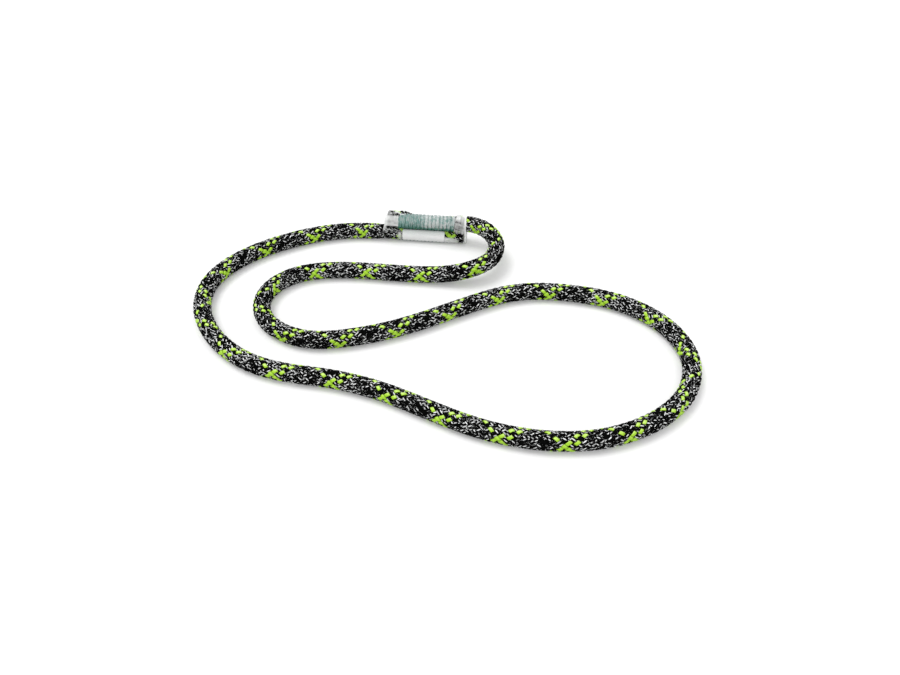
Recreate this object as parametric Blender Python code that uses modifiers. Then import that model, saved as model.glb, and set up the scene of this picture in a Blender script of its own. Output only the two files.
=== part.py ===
"""Endless loop sling: one length of kernmantle cord whose ends are laid one over the other and sewn.

Units are metres, +Z is up. The sling lies on the plane z = 0 as it does when it is put down. The origin is
the middle of the sewn joint, on the surface that the joint lies on. +X runs along the loop's longer side.
"""

import math

import bmesh
import bpy
import numpy as np
from mathutils import Matrix, Vector

# Cord
ROPE_DIAMETER = 0.0100
SHEATH_WALL = 0.0012
ROPE_SIDES = 12
OUTER_STRANDS = 6
STRAND_SIDES = 8
STRAND_RECESS = 0.0005

# Running gap between pieces that touch on the real sling
CLEARANCE = 0.0003

# Sewn joint, measured along its straight axis from its middle
JOINT_TURN = math.radians(-6.0)
LOWER_CUT_END = 0.0255
UPPER_CUT_END = -0.0240
LOWER_MOUTH = -0.0280
UPPER_MOUTH = 0.0272
SEAM_START = -0.0172
SEAM_END = 0.0200
SQUEEZE_TAPER = 0.0022
MOUTH_TAPER = 0.0060

# Rope size inside the joint, as a share of the free rope's
UPPER_SQUEEZE = 0.80
LOWER_SQUEEZE = 0.88
END_SQUEEZE = 0.925

# Sewing thread
THREAD_DIAMETER = 0.0007
STITCHES = 30
POINTS_PER_STITCH = 16
THREAD_SIDES = 6
BOBBIN_HALF_ANGLE = math.radians(31.0)
LEAST_WINDING_GAP = 0.0004

# Label strip on the front of the lower rope
LABEL_LENGTH = 0.0280
LABEL_MIDDLE = -0.0006
LABEL_THICKNESS = 0.0002
LABEL_TOP_ANGLE = math.radians(59.0)
LABEL_BOTTOM_ANGLE = math.radians(-47.0)
LABEL_CORNER = 0.0012
LABEL_ROWS = 10

# Clear sleeve
SLEEVE_WALL = 0.0004
SLEEVE_LAND = 0.0030
SLEEVE_RIM_SLANT = math.radians(8.0)
SLEEVE_ARC_STEPS = 5

# Spacing of the points along the cord: the turn from one to the next in radians, and the step's limits
BEND_PER_STEP = 0.32
LONGEST_STEP = 0.024
SHORTEST_STEP = 0.006
CURVE_POINTS_PER_SPAN = 24

# The cord's route after the joint, chosen by hand: X, Y and the share of the climb from the floor to the
# height at which the upper rope enters the joint
ROUTE = [
    (-0.0550, 0.0030, 0.0),
    (-0.0740, -0.0015, 0.0),
    (-0.0920, -0.0095, 0.0),
    (-0.1235, -0.0360, 0.0),
    (-0.1315, -0.0540, 0.0),
    (-0.1315, -0.0730, 0.0),
    (-0.1245, -0.0920, 0.0),
    (-0.1125, -0.1085, 0.0),
    (-0.0975, -0.1210, 0.0),
    (-0.0785, -0.1295, 0.0),
    (-0.0500, -0.1355, 0.0),
    (-0.0220, -0.1445, 0.0),
    (0.0320, -0.1715, 0.0),
    (0.0610, -0.1790, 0.0),
    (0.0910, -0.1785, 0.0),
    (0.1180, -0.1685, 0.0),
    (0.1405, -0.1485, 0.0),
    (0.1495, -0.1200, 0.0),
    (0.1405, -0.0920, 0.0),
    (0.1180, -0.0720, 0.0),
    (0.0850, -0.0620, 0.0),
    (0.0600, -0.0615, 0.0),
    (0.0310, -0.0720, 0.0),
    (-0.0215, -0.0975, 0.0),
    (-0.0420, -0.1030, 0.0),
    (-0.0620, -0.1045, 0.0),
    (-0.0800, -0.0980, 0.0),
    (-0.0935, -0.0825, 0.0),
    (-0.0950, -0.0635, 0.0),
    (-0.0830, -0.0470, 0.0),
    (-0.0650, -0.0405, 0.0),
    (-0.0360, -0.0405, 0.0),
    (-0.0060, -0.0440, 0.02),
    (0.0137, -0.0457, 0.17),
    (0.0295, -0.0452, 0.51),
    (0.0415, -0.0373, 0.66),
    (0.0458, -0.0206, 0.80),
    (0.0385, -0.0076, 0.94),
]

# Values that follow from the ones above
ROPE_RADIUS = ROPE_DIAMETER / 2
SIDE_FLATNESS = math.cos(math.pi / ROPE_SIDES)
BORE_RADIUS = ROPE_RADIUS - SHEATH_WALL
CORE_SPACE = BORE_RADIUS * SIDE_FLATNESS
RING_SHARE = 2 * math.sin(math.pi / OUTER_STRANDS)
STRAND_DIAMETER = (CORE_SPACE - CLEARANCE - CLEARANCE / RING_SHARE) / (1 / RING_SHARE + 0.5)
STRAND_RING = (STRAND_DIAMETER + CLEARANCE) / RING_SHARE
MIDDLE_STRAND_DIAMETER = 2 * (STRAND_RING - STRAND_DIAMETER / 2 - CLEARANCE)
LOWER_RADIUS = ROPE_RADIUS * LOWER_SQUEEZE
UPPER_RADIUS = ROPE_RADIUS * UPPER_SQUEEZE
THREAD_SPACE = THREAD_DIAMETER + 2 * CLEARANCE
LABEL_REACH = LOWER_RADIUS + CLEARANCE + LABEL_THICKNESS
END_REACH = ROPE_RADIUS * END_SQUEEZE
SLEEVE_BORE_HALF = max(UPPER_RADIUS + THREAD_SPACE, LABEL_REACH + CLEARANCE, END_REACH + CLEARANCE)
LOWER_HEIGHT = SLEEVE_WALL + THREAD_SPACE + LOWER_RADIUS
UPPER_HEIGHT = LOWER_HEIGHT + LOWER_RADIUS + THREAD_SPACE + UPPER_RADIUS
STITCH_PITCH = (SEAM_END - SEAM_START) / STITCHES


def clear_scene():
    """Remove whatever the opened file holds."""
    for old in list(bpy.data.objects):
        bpy.data.objects.remove(old, do_unlink=True)


def new_collection(name):
    collection = bpy.data.collections.new(name)
    bpy.context.scene.collection.children.link(collection)
    return collection


def principled(name, colour, roughness, metallic=0.0, transmission=0.0):
    material = bpy.data.materials.new(name)
    material.use_nodes = True
    shader = material.node_tree.nodes["Principled BSDF"]
    shader.inputs["Base Color"].default_value = (*colour, 1.0)
    shader.inputs["Roughness"].default_value = roughness
    shader.inputs["Metallic"].default_value = metallic
    shader.inputs["Transmission Weight"].default_value = transmission
    return material


JOINT_AXIS = Vector((math.cos(JOINT_TURN), math.sin(JOINT_TURN), 0.0))
JOINT_BACK = Vector((-math.sin(JOINT_TURN), math.cos(JOINT_TURN), 0.0))


def in_joint(along, back, up):
    """The point at this distance along the joint, towards its back and above the floor."""
    return JOINT_AXIS * along + JOINT_BACK * back + Vector((0.0, 0.0, up))


def smooth_curve(points, first_slope, last_slope):
    """Points of a cubic spline through the given points, with both end slopes given."""
    knots = np.array(points)
    spans = np.linalg.norm(np.diff(knots, axis=0), axis=1)
    count = len(knots)
    system = np.eye(count)
    slopes = np.zeros((count, 3))
    slopes[0] = first_slope
    slopes[-1] = last_slope
    for i in range(1, count - 1):
        before, after = spans[i - 1], spans[i]
        system[i, i - 1 : i + 2] = after, 2 * (before + after), before
        rise_before = (knots[i] - knots[i - 1]) / before
        rise_after = (knots[i + 1] - knots[i]) / after
        slopes[i] = 3 * (after * rise_before + before * rise_after)
    slopes = np.linalg.solve(system, slopes)
    pieces = []
    for i, span in enumerate(spans):
        t = np.linspace(0.0, 1.0, CURVE_POINTS_PER_SPAN, endpoint=False)[:, None]
        start = (2 * t**3 - 3 * t**2 + 1) * knots[i] + (t**3 - 2 * t**2 + t) * span * slopes[i]
        end = (3 * t**2 - 2 * t**3) * knots[i + 1] + (t**3 - t**2) * span * slopes[i + 1]
        pieces.append(start + end)
    return np.vstack([*pieces, knots[-1:]])


def free_curve():
    """The cord's free stretch, from where it leaves the joint low on the left to where it comes back high."""
    climb = UPPER_HEIGHT - ROPE_RADIUS
    points = [in_joint(LOWER_MOUTH, 0.0, LOWER_HEIGHT)]
    points += [(x, y, ROPE_RADIUS + share * climb) for x, y, share in ROUTE]
    points.append(in_joint(UPPER_MOUTH, 0.0, UPPER_HEIGHT))
    return smooth_curve(points, -JOINT_AXIS, -JOINT_AXIS)


def lengths_along(points):
    steps = np.linalg.norm(np.diff(points, axis=0), axis=1)
    return np.concatenate([[0.0], np.cumsum(steps)])


def bend_at(points):
    """How sharply a line turns at each of its points, in radians a metre."""
    along = lengths_along(points)
    direction = np.gradient(points, along, axis=0)
    direction /= np.linalg.norm(direction, axis=1)[:, None]
    return np.linalg.norm(np.gradient(direction, along, axis=0), axis=1)


def spaced_by_bend(points):
    """Places along the line, close together in a bend and further apart where the cord lies straight."""
    along = lengths_along(points)
    bend = bend_at(points)
    window = np.ones(CURVE_POINTS_PER_SPAN // 3)
    bend = np.convolve(bend, window / window.sum(), mode="same")
    step = np.clip(BEND_PER_STEP / np.maximum(bend, 1e-6), SHORTEST_STEP, LONGEST_STEP)
    steps_passed = np.concatenate([[0.0], np.cumsum(np.diff(along) / step[1:])])
    count = max(2, round(steps_passed[-1]))
    wanted = np.linspace(0.0, steps_passed[-1], count + 1)[1:-1]
    return np.interp(wanted, steps_passed, along)


def lower_run():
    """(place along the joint, share of the free rope's size) for the lower rope, from its cut end."""
    return [
        (LOWER_CUT_END, END_SQUEEZE),
        (SEAM_END + 2 * SQUEEZE_TAPER, END_SQUEEZE),
        (SEAM_END + SQUEEZE_TAPER / 2, LOWER_SQUEEZE),
        (SEAM_START - SQUEEZE_TAPER / 2, LOWER_SQUEEZE),
        (SEAM_START - 2 * SQUEEZE_TAPER, END_SQUEEZE),
        (LOWER_MOUTH, END_SQUEEZE),
    ]


def upper_run():
    """The same for the upper rope, from where it enters the joint on the right to its cut end."""
    return [
        (UPPER_MOUTH, END_SQUEEZE),
        (SEAM_END + 2 * SQUEEZE_TAPER, END_SQUEEZE),
        (SEAM_END + SQUEEZE_TAPER / 2, UPPER_SQUEEZE),
        (SEAM_START - SQUEEZE_TAPER / 2, UPPER_SQUEEZE),
        (SEAM_START - 2 * SQUEEZE_TAPER, END_SQUEEZE),
        (UPPER_CUT_END, END_SQUEEZE),
    ]


def cord_stations():
    """The whole cord as points and their shares of the free rope's size, from one cut end to the other."""
    curve = free_curve()
    along = lengths_along(curve)
    total = along[-1]
    points = [in_joint(place, 0.0, LOWER_HEIGHT) for place, _ in lower_run()]
    shares = [share for _, share in lower_run()]
    for place in spaced_by_bend(curve):
        points.append(Vector([float(np.interp(place, along, curve[:, i])) for i in range(3)]))
        from_mouth = min(place, total - place) / MOUTH_TAPER
        shares.append(END_SQUEEZE + (1.0 - END_SQUEEZE) * min(1.0, from_mouth))
    points += [in_joint(place, 0.0, UPPER_HEIGHT) for place, _ in upper_run()]
    shares += [share for _, share in upper_run()]
    return points, shares


def cross_frames(points):
    """For each point of a line that lies nearly level, the directions to its side and up across it."""
    frames = []
    for i, point in enumerate(points):
        before = (point - points[i - 1]).normalized() if i else Vector()
        after = (points[i + 1] - point).normalized() if i < len(points) - 1 else Vector()
        along = (before + after).normalized()
        side = along.cross(Vector((0.0, 0.0, 1.0))).normalized()
        frames.append((side, side.cross(along)))
    return frames


def tube_curve(name, points, shares, radius, sides, tilt=0.0):
    """A filled tube along the points, with 8 or 12 sides, or 6 for thread."""
    data = bpy.data.curves.new(name, "CURVE")
    data.dimensions = "3D"
    data.twist_mode = "Z_UP"
    data.bevel_depth = radius
    data.bevel_resolution = sides // 2 - 2
    data.use_fill_caps = True
    spline = data.splines.new("POLY")
    spline.points.add(len(points) - 1)
    for spot, point, share in zip(spline.points, points, shares, strict=True):
        spot.co = (*point, 1.0)
        spot.radius = share
        spot.tilt = tilt
    curve = bpy.data.objects.new(name, data)
    bpy.context.scene.collection.objects.link(curve)
    return curve


def as_mesh(curve, collection, material):
    """A mesh object in place of a curve object, with its caps welded on."""
    bpy.context.view_layer.update()
    evaluated = curve.evaluated_get(bpy.context.evaluated_depsgraph_get())
    mesh = bpy.data.meshes.new_from_object(evaluated)
    work = bmesh.new()
    work.from_mesh(mesh)
    bmesh.ops.remove_doubles(work, verts=work.verts, dist=1e-7)
    bmesh.ops.recalc_face_normals(work, faces=work.faces)
    work.to_mesh(mesh)
    work.free()
    name = curve.name
    world = curve.matrix_world.copy()
    bpy.data.objects.remove(curve, do_unlink=True)
    solid = bpy.data.objects.new(name, mesh)
    solid.matrix_world = world
    collection.objects.link(solid)
    mesh.materials.clear()
    if material:
        mesh.materials.append(material)
    mesh.shade_smooth()
    mesh.set_sharp_from_angle(angle=math.radians(50.0))
    return solid


def hide_cutter(cutter):
    cutter.hide_render = True
    cutter.display_type = "WIRE"


def cut(solid, cutter, label):
    modifier = solid.modifiers.new(label, "BOOLEAN")
    modifier.operation = "DIFFERENCE"
    modifier.solver = "EXACT"
    modifier.object = cutter


def make_sheath(points, shares, parts, cutters):
    """The braided cover: a tube whose bore is open at both cut ends. A flat side of it faces the floor."""
    half_side = math.pi / ROPE_SIDES
    outside = tube_curve("rope_sheath", points, shares, ROPE_RADIUS, ROPE_SIDES, half_side)
    sheath = as_mesh(outside, parts, principled("sheath_yarn", (0.035, 0.04, 0.03), 0.75))
    overrun = ROPE_RADIUS
    start = points[0] + (points[0] - points[1]).normalized() * overrun
    end = points[-1] + (points[-1] - points[-2]).normalized() * overrun
    bore_points = [start, *points[1:-1], end]
    bore = tube_curve("sheath_bore", bore_points, shares, BORE_RADIUS, ROPE_SIDES, half_side)
    bore = as_mesh(bore, cutters, None)
    hide_cutter(bore)
    cut(sheath, bore, "bore")


def make_core(points, shares, parts):
    """A middle strand and the strands round it, each as long as the bore."""
    frames = cross_frames(points)
    material = principled("core_yarn", (0.80, 0.79, 0.74), 0.7)
    ends = list(points)
    ends[0] = points[0] + (points[1] - points[0]).normalized() * STRAND_RECESS
    ends[-1] = points[-1] + (points[-2] - points[-1]).normalized() * STRAND_RECESS
    for number in range(OUTER_STRANDS + 1):
        angle = 2 * math.pi * number / OUTER_STRANDS
        reach = STRAND_RING if number else 0.0
        diameter = STRAND_DIAMETER if number else MIDDLE_STRAND_DIAMETER
        line = []
        for point, share, (side, up) in zip(ends, shares, frames, strict=True):
            across = side * math.cos(angle) + up * math.sin(angle)
            line.append(point + across * reach * share)
        name = f"core_strand_{number + 1}"
        as_mesh(tube_curve(name, line, shares, diameter / 2, STRAND_SIDES), parts, material)


def least_gap(points, diameter, apart):
    """The least gap of a winding to itself, between points at least so far apart along it."""
    line = np.array([tuple(point) for point in points])
    along = lengths_along(line)
    least = math.inf
    for i, point in enumerate(line):
        others = line[along > along[i] + apart]
        if len(others):
            least = min(least, float(np.linalg.norm(others - point, axis=1).min()))
    return least - diameter


def report_gap(name, points, apart):
    gap = least_gap(points, THREAD_DIAMETER, apart)
    state = "clear" if gap > LEAST_WINDING_GAP else "too close"
    print(f"{name}: least gap to itself {gap * 1000:.2f} mm, {state}")


def make_needle_thread(parts):
    """The thread that crosses the crest of the upper rope once a stitch and comes back between the ropes."""
    reach = UPPER_RADIUS + CLEARANCE + THREAD_DIAMETER / 2
    steps = STITCHES * POINTS_PER_STITCH
    line = []
    for step in range(steps + 1):
        angle = 2 * math.pi * step / POINTS_PER_STITCH - math.pi / 2
        along = SEAM_START + (SEAM_END - SEAM_START) * step / steps
        up = UPPER_HEIGHT + reach * math.sin(angle)
        line.append(in_joint(along, -reach * math.cos(angle), up))
    tail = THREAD_DIAMETER
    line.insert(0, line[0] - (line[1] - line[0]).normalized() * tail)
    line.append(line[-1] + (line[-1] - line[-2]).normalized() * tail)
    report_gap("needle_thread", line, STITCH_PITCH * 3)
    thread = tube_curve("needle_thread", line, [1.0] * len(line), THREAD_DIAMETER / 2, THREAD_SIDES)
    as_mesh(thread, parts, principled("needle_yarn", (0.10, 0.33, 0.27), 0.5))


def make_bobbin_thread(parts):
    """The thread of the seam's other side: bars to and fro under the lower rope."""
    reach = LOWER_RADIUS + CLEARANCE + THREAD_DIAMETER / 2
    turn = STITCH_PITCH / 2
    straight = BOBBIN_HALF_ANGLE - turn / reach
    line = []
    for bar in range(STITCHES):
        middle = SEAM_START + STITCH_PITCH * (bar + 0.5)
        way = 1 if bar % 2 else -1
        places = [(middle, way * straight * share) for share in (-1.0, 0.0, 1.0)]
        if bar < STITCHES - 1:
            for quarter in (1, 2, 3):
                angle = math.pi * quarter / 4
                sweep = straight + turn / reach * math.sin(angle)
                places.append((middle + turn * (1 - math.cos(angle)), way * sweep))
        for along, angle in places:
            up = LOWER_HEIGHT - reach * math.cos(angle)
            line.append(in_joint(along, reach * math.sin(angle), up))
    report_gap("bobbin_thread", line, STITCH_PITCH * 2)
    thread = tube_curve("bobbin_thread", line, [1.0] * len(line), THREAD_DIAMETER / 2, THREAD_SIDES)
    as_mesh(thread, parts, principled("bobbin_yarn", (0.12, 0.34, 0.28), 0.5))


def rounded(value, other, half, other_half, corner):
    """Draw a strip's edge in where its corner is rounded."""
    into_corner = abs(other) - (other_half - corner)
    if into_corner <= 0.0:
        return value
    limit = half - corner + math.sqrt(max(0.0, corner**2 - into_corner**2))
    return max(-limit, min(limit, value))


def make_label(parts):
    """A thin blank strip that is curved round the front of the lower rope."""
    inside = LOWER_RADIUS + CLEARANCE
    arc = LABEL_TOP_ANGLE - LABEL_BOTTOM_ANGLE
    half_width = inside * arc / 2
    half_length = LABEL_LENGTH / 2
    inner = half_length - LABEL_CORNER
    columns = [-half_length, -inner, -inner / 2, 0.0, inner / 2, inner, half_length]
    work = bmesh.new()
    bmesh.ops.create_grid(work, x_segments=len(columns) - 1, y_segments=LABEL_ROWS, size=1.0)
    for vert in work.verts:
        along = columns[round((vert.co.x + 1.0) / 2 * (len(columns) - 1))]
        across = vert.co.y * half_width
        along = rounded(along, across, half_length, half_width, LABEL_CORNER)
        angle = (LABEL_TOP_ANGLE + LABEL_BOTTOM_ANGLE) / 2 + across / inside
        up = LOWER_HEIGHT + inside * math.sin(angle)
        vert.co = in_joint(LABEL_MIDDLE + along, -inside * math.cos(angle), up)
    mesh = bpy.data.meshes.new("label_strip")
    work.to_mesh(mesh)
    work.free()
    label = bpy.data.objects.new("label_strip", mesh)
    parts.objects.link(label)
    mesh.materials.append(principled("label_film", (0.80, 0.80, 0.80), 0.55))
    mesh.shade_smooth()
    wall = label.modifiers.new("thickness", "SOLIDIFY")
    wall.thickness = LABEL_THICKNESS
    outwards = mesh.polygons[0].normal.dot(-JOINT_BACK) > 0.0
    wall.offset = 1.0 if outwards else -1.0


def sleeve_outline(half, floor):
    """The sleeve's section as (across, up) points, round from its flat underside."""
    low_centre = SLEEVE_WALL + SLEEVE_BORE_HALF
    step = math.pi / 2 / SLEEVE_ARC_STEPS
    right = [(SLEEVE_LAND / 2, floor)]
    for number in range(2, SLEEVE_ARC_STEPS + 1):
        angle = step * number
        right.append((half * math.sin(angle), low_centre - half * math.cos(angle)))
    for number in range(SLEEVE_ARC_STEPS):
        angle = step * number
        right.append((half * math.cos(angle), UPPER_HEIGHT + half * math.sin(angle)))
    left = [(-across, up) for across, up in reversed(right)]
    return [*right, (0.0, UPPER_HEIGHT + half), *left]


def make_sleeve(parts, cutters):
    """The clear film sleeve: an open tube round both ropes, flat where it lies on the floor."""
    data = bpy.data.curves.new("shrink_sleeve", "CURVE")
    data.dimensions = "2D"
    data.fill_mode = "BOTH"
    length = UPPER_MOUTH - LOWER_MOUTH
    data.extrude = length / 2
    for half, floor in ((SLEEVE_BORE_HALF + SLEEVE_WALL, 0.0), (SLEEVE_BORE_HALF, SLEEVE_WALL)):
        outline = sleeve_outline(half, floor)
        spline = data.splines.new("POLY")
        spline.points.add(len(outline) - 1)
        for spot, (across, up) in zip(spline.points, outline, strict=True):
            spot.co = (across, up, 0.0, 1.0)
        spline.use_cyclic_u = True
    curve = bpy.data.objects.new("shrink_sleeve", data)
    bpy.context.scene.collection.objects.link(curve)
    turn = Matrix((JOINT_BACK, Vector((0.0, 0.0, 1.0)), JOINT_AXIS)).transposed()
    middle = in_joint((UPPER_MOUTH + LOWER_MOUTH) / 2, 0.0, 0.0)
    curve.matrix_world = Matrix.Translation(middle) @ turn.to_4x4()
    material = principled("sleeve_film", (0.93, 0.95, 0.94), 0.15, transmission=0.9)
    sleeve = as_mesh(curve, parts, material)
    cut(sleeve, make_rim_cutter(cutters), "slanted rim")


def make_rim_cutter(cutters):
    """A block whose leaning face trims the sleeve's left rim from its foot backwards to its crest."""
    size = 4 * SLEEVE_BORE_HALF
    height = UPPER_HEIGHT + SLEEVE_BORE_HALF
    bpy.ops.mesh.primitive_cube_add(size=1.0)
    block = bpy.context.active_object
    block.name = "rim_cutter"
    for owner in list(block.users_collection):
        owner.objects.unlink(block)
    cutters.objects.link(block)
    block.data.transform(Matrix.Diagonal((size, size, 3 * height, 1.0)))
    block.data.transform(Matrix.Translation((-size / 2, 0.0, height / 2)))
    lean = Matrix.Rotation(SLEEVE_RIM_SLANT, 4, "Y")
    turn = Matrix.Rotation(JOINT_TURN, 4, "Z")
    block.matrix_world = Matrix.Translation(in_joint(LOWER_MOUTH, 0.0, 0.0)) @ turn @ lean
    hide_cutter(block)
    return block


def main():
    clear_scene()
    parts = new_collection("endless_loop_sling")
    cutters = new_collection("cutters")
    points, shares = cord_stations()
    make_sheath(points, shares, parts, cutters)
    make_core(points, shares, parts)
    make_needle_thread(parts)
    make_bobbin_thread(parts)
    make_label(parts)
    make_sleeve(parts, cutters)
    curve = free_curve()
    free_length = lengths_along(curve)[-1]
    joint_runs = LOWER_CUT_END - LOWER_MOUTH + UPPER_MOUTH - UPPER_CUT_END
    tightest = 1.0 / bend_at(curve)[3:-3].max()
    length = free_length + joint_runs
    print(f"cord: {len(points)} points, {length:.3f} m long, tightest bend {tightest:.4f} m")


main()
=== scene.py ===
import math

import bpy
import numpy as np
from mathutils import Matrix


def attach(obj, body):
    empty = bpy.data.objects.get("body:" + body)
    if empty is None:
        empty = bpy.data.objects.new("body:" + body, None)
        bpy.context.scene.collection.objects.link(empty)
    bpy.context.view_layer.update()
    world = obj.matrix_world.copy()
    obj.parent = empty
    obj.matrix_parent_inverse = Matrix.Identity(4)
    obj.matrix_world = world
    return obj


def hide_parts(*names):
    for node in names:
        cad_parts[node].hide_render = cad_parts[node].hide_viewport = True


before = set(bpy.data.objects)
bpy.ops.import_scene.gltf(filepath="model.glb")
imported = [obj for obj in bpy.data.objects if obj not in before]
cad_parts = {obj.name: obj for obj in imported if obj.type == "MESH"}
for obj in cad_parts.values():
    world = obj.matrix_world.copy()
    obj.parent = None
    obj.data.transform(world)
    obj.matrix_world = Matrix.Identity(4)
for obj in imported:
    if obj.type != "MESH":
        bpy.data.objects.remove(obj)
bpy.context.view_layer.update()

MM = 0.001
FULL_TURN = 2.0 * math.pi
WAVE_STARTS = (0.0, 6.28)

# Camera, solved from the photograph
CAMERA_PLACE = (0.0165, -0.4408, 0.3113)
CAMERA_TILT = math.radians(47.82)
CAMERA_LENS = 32.0
CAMERA_SENSOR = 36.0
PICTURE_WIDTH = 900
PICTURE_HEIGHT = 675
FOCAL_PIXELS = PICTURE_WIDTH * CAMERA_LENS / CAMERA_SENSOR

# Sewn joint, measured along its straight axis from its middle, as in the CAD part
JOINT_TURN = math.radians(-6.0)
LOWER_CUT_END = 0.0255
UPPER_CUT_END = -0.0240
LOWER_MOUTH = -0.0280
UPPER_MOUTH = 0.0272
SEAM_START = -0.0172
SEAM_END = 0.0200
STITCHES = 30

# The cord's route after the joint, as in the CAD part: X and Y where it lies on the floor, then X, Y and the
# share of the climb to the height at which the upper rope enters the joint
FLOOR_ROUTE = [
    (-0.0550, 0.0030), (-0.0740, -0.0015), (-0.0920, -0.0095), (-0.1235, -0.0360), (-0.1315, -0.0540),
    (-0.1315, -0.0730), (-0.1245, -0.0920), (-0.1125, -0.1085), (-0.0975, -0.1210), (-0.0785, -0.1295),
    (-0.0500, -0.1355), (-0.0220, -0.1445), (0.0320, -0.1715), (0.0610, -0.1790), (0.0910, -0.1785),
    (0.1180, -0.1685), (0.1405, -0.1485), (0.1495, -0.1200), (0.1405, -0.0920), (0.1180, -0.0720),
    (0.0850, -0.0620), (0.0600, -0.0615), (0.0310, -0.0720), (-0.0215, -0.0975), (-0.0420, -0.1030),
    (-0.0620, -0.1045), (-0.0800, -0.0980), (-0.0935, -0.0825), (-0.0950, -0.0635), (-0.0830, -0.0470),
    (-0.0650, -0.0405), (-0.0360, -0.0405),
]
CLIMB_ROUTE = [
    (-0.0060, -0.0440, 0.02), (0.0137, -0.0457, 0.17), (0.0295, -0.0452, 0.51),
    (0.0415, -0.0373, 0.66), (0.0458, -0.0206, 0.80), (0.0385, -0.0076, 0.94),
]
CURVE_POINTS_PER_SPAN = 24
PATH_STEP = 0.00025

# Cord
BRAID_RADIUS = 0.0053
FREE_HEIGHT = 0.00500
UPPER_LOOSE_HEIGHT = 0.0148
LOWER_HEIGHT = 0.00515
UPPER_HEIGHT = 0.0142
LOWER_SIDE_RADIUS = 0.0050
LOWER_RISE_RADIUS = 0.0046
UPPER_SIDE_RADIUS = 0.00445
UPPER_RISE_RADIUS = 0.0043
MOUTH_TAPER = 0.0050
SEAM_TAPER = 0.0030
UPPER_END_BACK = 0.00045
UPPER_END_UP = 0.0006
LEFT_BULGE = 0.0034
LEFT_BULGE_REACH = (-0.0150, -0.0042)
RIGHT_BULGE = 0.0010
RIGHT_BULGE_REACH = (0.0100, 0.0165)
BULGE_ANGLE = math.radians(35.0)
BULGE_SPREAD = 0.157
BODY_RADIUS = 0.00425
BODY_STEP = 0.0010
BODY_SIDES = 24

# Cut ends: profiles of the melted rim and of the core inside it, as reach past the cut and radius in
# millimetres
RIM_PROFILE = (
    *((-0.9, 4.3), (-0.5, 5.02), (0.0, 4.98), (0.35, 4.75)),
    *((0.6, 4.2), (0.62, 3.6), (0.35, 3.1), (-0.9, 3.0)),
)
CORE_PROFILE = ((-0.8, 3.3), (0.2, 3.35), (0.5, 3.1), (0.72, 2.2), (0.8, 1.1), (0.82, 0.25))
END_SIDES = 40
END_WAVES = 5
END_WAVE_SIZE = 0.06
END_WAVE_SHARES = (0.3, 1.0)
END_WAVE_COUNTS = (2, 7)
END_EVEN_BELOW = -0.4

# Braid: two families of eight carriers, wound to opposite sides
CARRIERS = 8
CELLS_PER_TURN = 2 * CARRIERS
BRAID_PITCH = 0.0325
JOINT_BRAID_PITCH = 0.0260
LIME_FIRST = (0, 1)
LIME_SECOND = (0,)
DARK_FIRST = (3, 4)
DARK_SECOND = (3, 6)
STATIONS_PER_CELL = 5
RIBBON_WIDTH = 0.94
LIME_RIBBON_WIDTH = 0.65
LIME_JOINT_WIDTH = 0.90
FLOAT_STRETCH = 0.030
FLOAT_LEAN = 0.014
RIBBON_NARROWING = 0.02
RIBBON_THICKNESS = 0.00085
MIDDLE_RADIUS = 0.00478
WEAVE_DEPTH = 0.00040
EDGE_DROOP = 0.00014
PLIES = 3
PLY_RELIEF = 0.00012
UNDER_PLACES = (0.42, 0.0, -0.42)
BAKE_ROWS = 15
BAKE_ROW_MARGIN = 0.04
BAKE_CAP_PLACE = 0.985
BAKE_CAP_RADIUS = 0.008

# Photo marks: turns of the braid from the crossing at the left of the joint, and the picture point of the
# middle of the cell where the first lime carriers of both families cross
BRAID_MARKS = [
    (-2.0, 449.0, 235.5), (-1.0, 404.0, 231.0), (0.0, 361.0, 232.0), (1.0, 312.5, 237.5),
    (2.0, 265.0, 251.5), (3.0, 225.5, 273.0), (5.5, 223.5, 357.5), (6.5, 274.5, 378.0),
    (7.5, 333.0, 387.0), (8.5, 386.0, 401.5), (9.5, 440.5, 424.0), (10.5, 501.0, 443.0),
    (11.5, 569.0, 450.5), (12.5, 634.5, 440.5), (15.0, 678.5, 348.5), (16.0, 646.5, 318.5),
    (17.0, 599.5, 301.0), (18.0, 546.5, 295.0), (19.0, 497.0, 300.0), (20.0, 448.5, 317.0),
    (21.0, 395.5, 333.5), (22.0, 336.5, 344.5), (23.0, 277.5, 337.0), (24.5, 278.0, 290.5),
    (25.5, 317.5, 276.5), (26.5, 369.0, 276.0), (27.5, 422.5, 279.5), (28.5, 479.0, 272.0),
    (30.0, 473.5, 230.5),
]
FIRST_MARK_PLACE = 0.066
UPPER_END_ROLL = math.radians(160.0)
UPPER_END_TURN = 0.15
UPPER_END_ROLL_REACH = (0.001, 0.019)
MARK_WINDOW = 0.035
MARK_PLACES = 281
MARK_ANGLES = 360

# Sewing thread
THREAD_WIDTH = 0.00105
THREAD_HEIGHT = 0.00052
THREAD_REACH = 0.00043
BED_TURNS = 37
BED_WIDTH = 0.00112
BED_HEIGHT = 0.00034
BED_REACH = 0.00012
# The bed and side shades set painted shade on the thread: in the gaps between the paired turns and on the
# sides of its plies
BED_SHADE = 0.90
SIDE_SHADE = 0.64
THREAD_LEAN = 0.0003
THREAD_SIDES = 12
THREAD_POINTS_PER_TURN = 48
THREAD_PLIES = 3
THREAD_TWISTS_PER_TURN = 14
THREAD_LOBE = 0.10
THREAD_START = math.radians(-100.0)
STITCH_UNEVENNESS = 0.12
PAIR_PULL = 0.50
PAIR_OPEN_ANGLE = math.radians(28.0)
PAIR_OPEN_SPREAD = math.radians(38.0)
PAIR_CROSSOVER = 0.05
BOBBIN_HALF_ANGLE = math.radians(42.0)
BOBBIN_REACH = 0.00005
POINTS_PER_BAR = 18

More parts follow.
